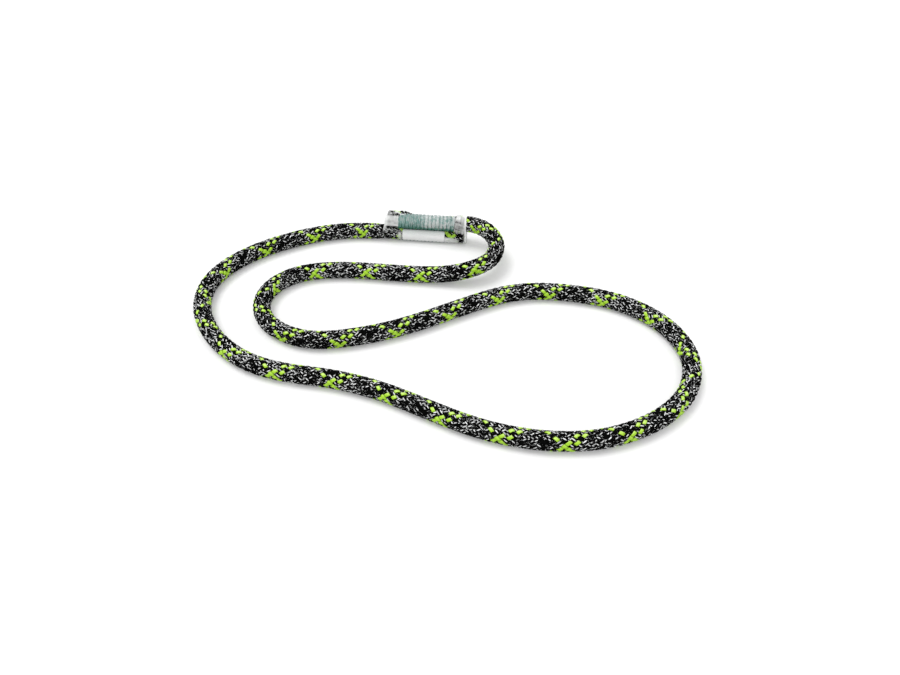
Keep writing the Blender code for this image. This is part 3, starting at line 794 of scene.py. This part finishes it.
def make_carrier(cord, family, number, ribbon_width, joint_width, material):
    """One flat bundle of plies, wound round the cord, over and under the carriers of the other family."""
    shift = number if family > 0 else -number
    first_cell = CELLS_PER_TURN * cord.turns[0] + shift
    last_cell = CELLS_PER_TURN * cord.turns[-1] + shift
    count = int(math.ceil((last_cell - first_cell + 1.0) * STATIONS_PER_CELL)) + 1
    cells = np.linspace(first_cell - 0.5, last_cell + 0.5, count)[:, None]
    top_points = 2 * PLIES + 1
    under_points = len(UNDER_PLACES)
    sides = top_points + under_points
    across_top = np.linspace(-0.5, 0.5, top_points)
    height = np.cos(math.pi * (cells + shift)) * family
    middle_places = np.interp((cells - shift) / CELLS_PER_TURN, cord.turns, cord.places)
    in_joint_share = np.interp(middle_places, cord.places, cord.lower_grip)
    width = ribbon_width + (joint_width - ribbon_width) * in_joint_share
    width = width * (1.0 - RIBBON_NARROWING * (1.0 - height) / 2.0)
    across = np.concatenate([across_top, UNDER_PLACES])[None, :] * width
    cells_here = np.clip(cells, first_cell + across, last_cell + across)
    height_here = np.cos(math.pi * (cells_here + shift)) * family
    lift = height_here * (1.5 - 0.5 * height_here**2)
    top = PLY_RELIEF * (np.arange(top_points) % 2) - EDGE_DROOP * (2.0 * across_top) ** 2
    section = np.concatenate([top, np.full(under_points, -RIBBON_THICKNESS)])
    radii = MIDDLE_RADIUS + WEAVE_DEPTH * lift + section[None, :]
    wave = np.sin(math.pi * (cells_here + shift))
    turns = (cells_here - shift - across + family * FLOAT_STRETCH * wave) / CELLS_PER_TURN
    places = np.interp(turns, cord.turns, cord.places)
    roll = np.interp(places, cord.places, cord.roll)
    angles = family * FULL_TURN * (cells_here + shift + across) / CELLS_PER_TURN
    points = cord.surface(places, angles + roll - FLOAT_LEAN * wave, radii)
    index = number if family > 0 else number + CARRIERS
    faces = loft_faces(count, sides, family > 0)
    made = mesh_object(f"cover_carrier_{index + 1}", points.reshape(-1, 3), faces, material)
    ply_place = np.concatenate([np.arange(top_points) / 2.0, (PLIES + 0.6, PLIES + 1.0, PLIES + 1.4)])
    carrier = np.full((count, sides), index + 0.25)
    lay = np.stack(np.broadcast_arrays(cells, ply_place, carrier), axis=-1)
    add_attribute(made, "yarn_lay", lay)
    lowest = MIDDLE_RADIUS - WEAVE_DEPTH - EDGE_DROOP
    highest = MIDDLE_RADIUS + WEAVE_DEPTH + PLY_RELIEF
    # The lift drives the painted shade where the ribbon dips under its neighbours
    add_attribute(made, "lift", np.clip((radii - lowest) / (highest - lowest), 0.0, 1.0))
    unroll(made, count, sides)
    return made


def unroll(made, rings, sides):
    """A bake map in which a long loft lies in rows, one below the other."""
    steps = rings - 1
    steps_per_row = math.ceil(steps / BAKE_ROWS)
    step = np.repeat(np.arange(steps), sides)
    side = np.tile(np.arange(sides), steps)
    row = step // steps_per_row
    start = step % steps_per_row / steps_per_row
    used = 1.0 - 2.0 * BAKE_ROW_MARGIN
    low = (row + BAKE_ROW_MARGIN + used * side / sides) / BAKE_ROWS
    vertex = np.zeros(len(made.data.loops), np.int32)
    made.data.loops.foreach_get("vertex_index", vertex)
    quads = vertex[: 4 * len(step)].reshape(-1, 4)
    later = quads // sides > step[:, None]
    higher = quads % sides != side[:, None]
    across = start[:, None] + later / steps_per_row
    down = low[:, None] + higher * used / sides / BAKE_ROWS
    places = np.zeros((len(vertex), 2), np.float32)
    places[: quads.size] = np.stack([across, down], axis=-1).reshape(-1, 2)
    around = circle(sides)
    disc = BAKE_CAP_PLACE + BAKE_CAP_RADIUS * np.stack([np.cos(around), np.sin(around)], axis=1)
    places[quads.size :] = np.concatenate([disc, disc[::-1]])
    made.data.uv_layers.new(name="OFBake").data.foreach_set("uv", places.ravel())


# Cut ends

def make_end_ring(cord, name, place, outward, profile, closed, material, random):
    """A turned piece on a cut end of the cord, a little uneven as melted yarn is."""
    angles = circle(END_SIDES)
    middle = cord.at(cord.line, place)
    ahead = cord.at(cord.ahead, place) * outward
    side = cord.at(cord.side, place) * cord.at(cord.side_size, place)
    rise = cord.at(cord.rise, place) * cord.at(cord.rise_size, place)
    around = np.cos(angles)[:, None] * side + np.sin(angles)[:, None] * rise
    uneven = np.zeros(END_SIDES)
    for _ in range(END_WAVES):
        share, count = random.uniform(*END_WAVE_SHARES), random.integers(*END_WAVE_COUNTS)
        uneven += END_WAVE_SIZE * share * np.cos(count * angles + random.uniform(*WAVE_STARTS))
    rings = []
    for depth, radius in profile:
        shift = uneven * (depth > END_EVEN_BELOW)
        reach = np.minimum((radius + 0.5 * shift) * MM, BRAID_RADIUS)
        forward = (depth + shift) * MM
        rings.append(middle + around * reach[:, None] + ahead * forward[:, None])
    faces = loft_faces(len(profile), END_SIDES, outward > 0)
    if closed:
        last = (len(profile) - 1) * END_SIDES
        joined = np.roll(band(np.arange(END_SIDES), last), 1, axis=1)
        faces = [faces[0], joined if outward > 0 else joined[:, ::-1]]
    return mesh_object(name, np.concatenate(rings), faces, material)


# Sewing thread

def thread_run(centres, radial, width, height, shade):
    """Points, faces and lay of a twisted thread along a line, flattened against one direction."""
    ahead = unit(np.gradient(centres, axis=0))
    radial = unit(radial - ahead * (radial * ahead).sum(axis=1)[:, None])
    sideways = np.cross(ahead, radial)
    along = distances(centres)
    angles = circle(THREAD_SIDES)
    turn_length = FULL_TURN * UPPER_SIDE_RADIUS
    twist = along * FULL_TURN * THREAD_TWISTS_PER_TURN / turn_length / THREAD_PLIES
    around = angles[None, :] - twist[:, None]
    lobes = 1.0 + THREAD_LOBE * np.cos(THREAD_PLIES * around)
    across = (0.5 * width * lobes * np.cos(angles)[None, :])[..., None]
    above = (0.5 * height * lobes * np.sin(angles)[None, :])[..., None]
    points = centres[:, None, :] + across * sideways[:, None, :] + above * radial[:, None, :]
    around = around / FULL_TURN * THREAD_PLIES
    # Painted shade on the thread: it falls low round the rope and on the sides of its plies
    shades = shade[:, None] + 0.5 * SIDE_SHADE * (np.sin(angles)[None, :] - 1.0)
    lay = np.stack(np.broadcast_arrays(along[:, None] / MM, around, shades), axis=-1)
    return points.reshape(-1, 3), loft_faces(len(centres), THREAD_SIDES), lay.reshape(-1, 3)


def make_thread(name, runs, material):
    """One piece of thread from its runs."""
    points, faces, lays, first = [], [], [], 0
    for run_points, run_faces, lay in runs:
        points.append(run_points)
        faces += [part + first for part in run_faces]
        lays.append(lay)
        first += len(run_points)
    made = mesh_object(name, np.concatenate(points), faces, material)
    add_attribute(made, "thread_lay", np.concatenate(lays))
    return made


def round_rope(along, angle, side_reach, rise_reach, height):
    """Points round a rope of the joint, from its front over its top, and the directions outward."""
    points = in_joint(along, -side_reach * np.cos(angle), height + rise_reach * np.sin(angle))
    return points, in_joint(np.zeros(angle.shape), -np.cos(angle), np.sin(angle))


def round_upper_rope(along, angle, reach):
    return round_rope(along, angle, UPPER_SIDE_RADIUS + reach, UPPER_RISE_RADIUS + reach, UPPER_HEIGHT)


def round_lower_rope(along, angle, reach):
    return round_rope(along, angle, LOWER_SIDE_RADIUS + reach, LOWER_RISE_RADIUS + reach, LOWER_HEIGHT)


def make_needle_thread(material):
    """Two passes of thread round the upper rope: a dense one, and one over it whose turns lie in pairs."""
    random = np.random.default_rng(7)
    bed_turn = np.linspace(0.0, BED_TURNS, BED_TURNS * THREAD_POINTS_PER_TURN + 1)
    bed_angle = THREAD_START + FULL_TURN * bed_turn
    bed_along = SEAM_START + bed_turn / BED_TURNS * (SEAM_END - SEAM_START)
    centres, radial = round_upper_rope(bed_along, bed_angle, BED_REACH)
    # The bed's shade is lowered, which paints shade in the gaps between the paired turns
    bed = thread_run(centres, radial, BED_WIDTH, BED_HEIGHT, np.sin(bed_angle) - BED_SHADE)
    turn = np.linspace(0.0, STITCHES, STITCHES * THREAD_POINTS_PER_TURN + 1)
    angle = THREAD_START + FULL_TURN * turn
    shifts = random.uniform(-STITCH_UNEVENNESS, STITCH_UNEVENNESS, STITCHES + 1)
    uneven = np.interp(turn, np.arange(STITCHES + 1), shifts)
    height = np.remainder(angle + math.pi, FULL_TURN) - math.pi
    closed = 1.0 - bump(height, PAIR_OPEN_ANGLE, PAIR_OPEN_SPREAD)
    in_pair = np.clip((1.0 - np.remainder(turn, 2.0)) / PAIR_CROSSOVER, -1.0, 1.0)
    at_ends = np.clip(np.minimum(turn, STITCHES - turn) / (2.0 * PAIR_CROSSOVER), 0.0, 1.0)
    pull = PAIR_PULL * 0.5 * in_pair * closed * at_ends
    along = SEAM_START + (turn + uneven + pull) * STITCH_PITCH + THREAD_LEAN * np.sin(angle)
    centres, radial = round_upper_rope(along, angle, THREAD_REACH)
    columns = thread_run(centres, radial, THREAD_WIDTH, THREAD_HEIGHT, np.sin(angle))
    return make_thread("stitch_needle", [bed, columns], material)


def make_bobbin_thread(material):
    """Bars under the lower rope, to and fro."""
    place = np.linspace(0.0, STITCHES, STITCHES * POINTS_PER_BAR + 1)
    swing = smooth_step(np.abs((place % 2.0) - 1.0), 0.0, 1.0)
    angle = -math.pi / 2.0 + BOBBIN_HALF_ANGLE * (2.0 * swing - 1.0)
    along = SEAM_START + place / STITCHES * (SEAM_END - SEAM_START)
    centres, radial = round_lower_rope(along, angle, BOBBIN_REACH)
    # Its shade follows the height round the rope, which paints it deep under the lower rope
    run = thread_run(centres, radial, THREAD_WIDTH, THREAD_HEIGHT, np.sin(angle))
    return make_thread("stitch_bobbin", [run], material)


# Label

def make_label(material):
    """A thin blank strip, bent round the front of the lower rope."""
    arc = LOWER_SIDE_RADIUS * (LABEL_TOP_ANGLE - LABEL_BOTTOM_ANGLE)
    height = np.linspace(-0.5, 0.5, LABEL_ROWS)
    past_corner = np.maximum(0.0, np.abs(height) * arc - (arc / 2.0 - LABEL_CORNER))
    half = LABEL_LENGTH / 2.0 - LABEL_CORNER + np.sqrt(np.maximum(LABEL_CORNER**2 - past_corner**2, 0.0))
    angle = LABEL_BOTTOM_ANGLE + (height + 0.5) * (LABEL_TOP_ANGLE - LABEL_BOTTOM_ANGLE)
    along = LABEL_MIDDLE + np.linspace(-1.0, 1.0, LABEL_COLUMNS)[None, :] * half[:, None]
    angle = np.broadcast_to(angle[:, None], along.shape)
    wave = LABEL_WAVE * np.sin(along / LABEL_WAVE_LENGTH) * np.cos(2.0 * angle)
    gaps = (LABEL_GAP, LABEL_GAP + LABEL_THICKNESS)
    points = np.concatenate([round_lower_rope(along, angle, gap + wave)[0].reshape(-1, 3) for gap in gaps])
    grid = np.arange(along.size).reshape(along.shape)
    sheet = np.stack([grid[:-1, :-1], grid[:-1, 1:], grid[1:, 1:], grid[1:, :-1]], axis=-1).reshape(-1, 4)
    rim = np.concatenate([grid[0, :-1], grid[:-1, -1], grid[-1, :0:-1], grid[:0:-1, 0]])
    faces = [sheet[:, ::-1], sheet + grid.size, band(rim, grid.size)]
    return mesh_object("label", points, faces, material)


# Sleeve

def film_outline(along):
    """The film's section at these places along the joint, as points across it and above the floor."""
    along = along[:, None]
    squeeze = seam_grip(along)
    free_end = upper_free_end(along)
    ripple = -FILM_RIPPLE * squeeze * np.cos(math.pi * (along - SEAM_START) / STITCH_PITCH)
    lift = THREAD_REACH + FILM_THREAD_SHARE * THREAD_HEIGHT
    arc = np.linspace(0.0, math.pi, FILM_ARC_STEPS)[None, :]
    over_bulge = seam_bulge(along) * bulge_share(math.pi - arc) - lift + BULGE_COVER
    swell = ripple + np.maximum(over_bulge, 0.0) + FILM_END_ROOM * (1.0 - squeeze)
    upper_side = BRAID_RADIUS + squeeze * (UPPER_SIDE_RADIUS + lift - BRAID_RADIUS) + swell
    upper_side = upper_side * (1.0 - FILM_END_TAPER * fade_out(along, FILM_LEFT_FRONT, UPPER_CUT_END))
    upper_rise = BRAID_RADIUS + squeeze * (UPPER_RISE_RADIUS + lift - BRAID_RADIUS) + swell
    upper_back = UPPER_END_BACK * free_end
    upper_height = UPPER_LOOSE_HEIGHT + squeeze * (UPPER_HEIGHT - UPPER_LOOSE_HEIGHT)
    over_label = smooth_step(along, *FILM_LABEL_START) * fade_out(along, *FILM_LABEL_END)
    end_pinch = 1.0 - FILM_MOUTH_PINCH * smooth_step(along, LOWER_CUT_END, FILM_RIGHT)
    lower_side = LOWER_SIDE_RADIUS + FILM_LOWER_GAP + over_label * (LABEL_GAP + LABEL_THICKNESS)
    lower_rise = LOWER_RISE_RADIUS + FILM_UNDER_GAP
    upper_across = upper_back - upper_side * np.cos(arc)
    upper_above = upper_height + UPPER_END_UP * free_end + upper_rise * np.sin(arc)
    lower_across = lower_side * end_pinch * np.cos(arc)
    lower_above = LOWER_HEIGHT - lower_rise * np.sin(arc) + 0.0 * along
    share = np.linspace(0.0, 1.0, FILM_SIDE_STEPS + 2)[1:-1][None, :]
    sag = FILM_WAIST_SAG * 4.0 * share * (1.0 - share)

    def between(start, end):
        return start[:, -1:] + share * (end[:, :1] - start[:, -1:])

    across = [upper_across, between(upper_across, lower_across) - sag]
    across += [lower_across, between(lower_across, upper_across) + sag]
    above = [upper_above, between(upper_above, lower_above), lower_above, between(lower_above, upper_above)]
    return np.hstack(across), np.hstack(above)


def film_haze_and_highlight(along, across, above):
    """How milky the film is at these places of the joint, with painted highlights added over the seam and at
    the right end.
    """
    where = {"along": along / MM, "across": across / MM, "above": above / MM}
    fades = {"in": smooth_step, "out": fade_out, "near": bump}

    def at(ranges):
        """1 at a milky place, falling to 0 over its ranges."""
        share = 1.0
        for key, pair in ranges.items():
            axis, fade = key.split()
            share = share * fades[fade](where[axis], *pair)
        return share

    haze_and_highlight = LEAST_HAZE + sum(strength * at(ranges) for strength, ranges in MILKY_AND_HIGHLIGHT_PLACES)
    mottle = np.cos(2100.0 * along + 900.0 * above) * np.cos(1500.0 * above - 1300.0 * along + 1.0)
    right = at(RIGHT_END) * (1.0 - 0.75 * at(RIGHT_WORN)) * (0.83 - 0.17 * mottle)
    # Painted highlight: the right end's milky film is made whiter at its top and at its mouth
    haze_and_highlight = haze_and_highlight + right * (0.46 + 0.30 * at(RIGHT_TOP) + 0.22 * at(RIGHT_MOUTH))
    haze_and_highlight = haze_and_highlight + 0.20 * at(UPPER_END_TOP) * np.maximum(at(OVER_CREST), at(BEHIND_CREST))
    # Painted highlights of the film over the stitch columns: streaks at the stitch pitch, greyest in the
    # middle, thinned over the seam's top as painted shade
    streaks = 0.5 - 0.5 * np.cos(math.pi * (along - SEAM_START) / STITCH_PITCH)
    greyest = at(SEAM_GREY) * (1.0 - 0.45 * at(SEAM_RIGHT))
    seam = at(SEAM_FRONT) * (1.0 - 0.30 * at(SEAM_TOP))
    haze_and_highlight = haze_and_highlight + seam * (0.04 + 0.06 * streaks + 0.38 * greyest * (0.64 + 0.36 * streaks))
    # Painted highlight on the right rim
    return np.clip(haze_and_highlight + 0.85 * at(RIGHT_RIM), 0.0, FULL_HAZE)


def make_film(material):
    """The sleeve, shrunk round both ropes: a thin closed shell with an open bore."""
    share = np.linspace(0.0, 1.0, FILM_STATIONS)
    along = FILM_LEFT_BOTTOM + share * (FILM_RIGHT - FILM_LEFT_BOTTOM)
    across, above = film_outline(along)
    sides = across.shape[1]
    edge_across = np.roll(across, -1, axis=1) - np.roll(across, 1, axis=1)
    edge_above = np.roll(above, -1, axis=1) - np.roll(above, 1, axis=1)
    size = np.hypot(edge_across, edge_above)
    out_across, out_above = -edge_above / size, edge_across / size
    front_to_back = smooth_step(across, *FILM_EDGE_ACROSS)
    upper_edge = FILM_LEFT_FRONT + (FILM_LEFT_BACK - FILM_LEFT_FRONT) * front_to_back
    slant = (upper_edge - FILM_LEFT_BOTTOM) * smooth_step(above, *FILM_EDGE_ABOVE)
    place = along[:, None] + slant * (1.0 - share[:, None]) ** 3
    random = np.random.default_rng(11)
    wrinkle = np.zeros(across.shape)
    for _ in range(WRINKLES):
        pull, lean = random.uniform(*WRINKLE_PULL), random.uniform(*WRINKLE_LEAN)
        wave = pull * place + lean * above
        wrinkle += random.uniform(*WRINKLE_SHARES) * np.cos(wave + random.uniform(*WAVE_STARTS))
    layers = []
    for depth in (0.0, -FILM_WALL):
        reach = WRINKLE_HEIGHT * wrinkle + depth
        layer = in_joint(place, across + out_across * reach, np.maximum(above + out_above * reach, 0.0))
        layers.append(layer.reshape(-1, 3))
    quads = loft_faces(FILM_STATIONS, sides)[0]
    total = FILM_STATIONS * sides
    rim = band(np.arange(sides), total)
    faces = [quads, quads[:, ::-1] + total, rim, rim[:, ::-1] + total - sides]
    made = mesh_object("film_sleeve", np.concatenate(layers), faces, material)
    haze_and_highlight = film_haze_and_highlight(place, across, above)
    add_attribute(made, "haze_and_highlight", np.concatenate([haze_and_highlight, np.zeros_like(haze_and_highlight)]))
    return made


# Stage

def make_stage():
    corners = np.array([(-1.0, -1.0, 0.0), (1.0, -1.0, 0.0), (1.0, 1.0, 0.0), (-1.0, 1.0, 0.0)]) * FLOOR_HALF
    floor = mesh_object("floor", corners, [np.array([[0, 1, 2, 3]])], floor_material(), smooth=False)
    sun_data = bpy.data.lights.new("sun", "SUN")
    sun_data.energy = SUN_STRENGTH
    sun_data.angle = SUN_SOFTNESS
    sun = bpy.data.objects.new("sun", sun_data)
    sun.rotation_euler = (0.0, math.pi / 2.0 - SUN_ELEVATION, SUN_FROM)
    bpy.context.scene.collection.objects.link(sun)
    world = bpy.data.worlds.new("sky")
    bpy.context.scene.world = world
    nodes = Nodes(world)
    direction = nodes.split(nodes.add("ShaderNodeTexCoord").outputs["Generated"])
    front = nodes.ramp(direction[1], -1.0, 0.0, FRONT_FILL, 0.0)
    fill = nodes.math("ADD", nodes.ramp(direction[2], 0.0, 1.0, SKY_LOW, SKY_TOP), front)
    level = nodes.math("MULTIPLY_ADD", nodes.seen(), nodes.math("SUBTRACT", 1.0, fill), fill)
    nodes.show(nodes.add("ShaderNodeBackground", {"Color": WHITE, "Strength": level}).outputs[0])
    bpy.context.scene.view_settings.view_transform = "Standard"


def finish_piece(made, slot, *nodes):
    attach(made, "root")
    if nodes:
        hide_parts(*nodes)
    return made


def build():
    make_camera()
    cord = Cord()
    yarn = speckled("inner_yarn", INNER_COLOURS, scale=1400.0, roughness=0.8, detail=2.0, low=0.4, shine=0.0)
    body, body_line = make_body(cord, yarn)
    finish_piece(body, "sheath_yarn", "rope_sheath", *[f"core_strand_{number}" for number in range(1, 8)])
    flecked = flecked_yarn("flecked_yarn", FLECK_SHARE)
    dark = flecked_yarn("dark_yarn", DARK_FLECK_SHARE)
    lime = lime_yarn()
    on_cord = []
    for family, limes, darks in ((1, LIME_FIRST, DARK_FIRST), (-1, LIME_SECOND, DARK_SECOND)):
        for number in range(CARRIERS):
            material = lime if number in limes else dark if number in darks else flecked
            width = LIME_RIBBON_WIDTH if number in limes else RIBBON_WIDTH
            joint_width = LIME_JOINT_WIDTH if number in limes else RIBBON_WIDTH
            carrier = make_carrier(cord, family, number, width, joint_width, material)
            on_cord.append(finish_piece(carrier, "sheath_yarn"))
    random = np.random.default_rng(3)
    melted = speckled("melted_yarn", MELTED_COLOURS, scale=900.0, roughness=0.35, relief=0.0003)
    core = speckled("core_yarn", CORE_COLOURS, scale=1800.0, roughness=0.5, relief=0.0002)
    for number, (place, outward) in enumerate(((0.0, -1.0), (cord.length, 1.0)), start=1):
        rim = make_end_ring(cord, f"cut_rim_{number}", place, outward, RIM_PROFILE, True, melted, random)
        face = make_end_ring(cord, f"cut_core_{number}", place, outward, CORE_PROFILE, False, core, random)
        on_cord += [finish_piece(rim, "sheath_yarn"), finish_piece(face, "core_yarn")]
    finish_piece(make_needle_thread(thread_material("needle_yarn")), "needle_yarn", "needle_thread")
    finish_piece(make_bobbin_thread(thread_material("bobbin_yarn")), "bobbin_yarn", "bobbin_thread")
    strip = speckled("label_film", LABEL_COLOURS, scale=160.0, roughness=0.5, detail=2.0)
    finish_piece(make_label(strip), "label_film", "label_strip")
    finish_piece(make_film(film_material()), "sleeve_film", "shrink_sleeve")
    make_stage()


build()
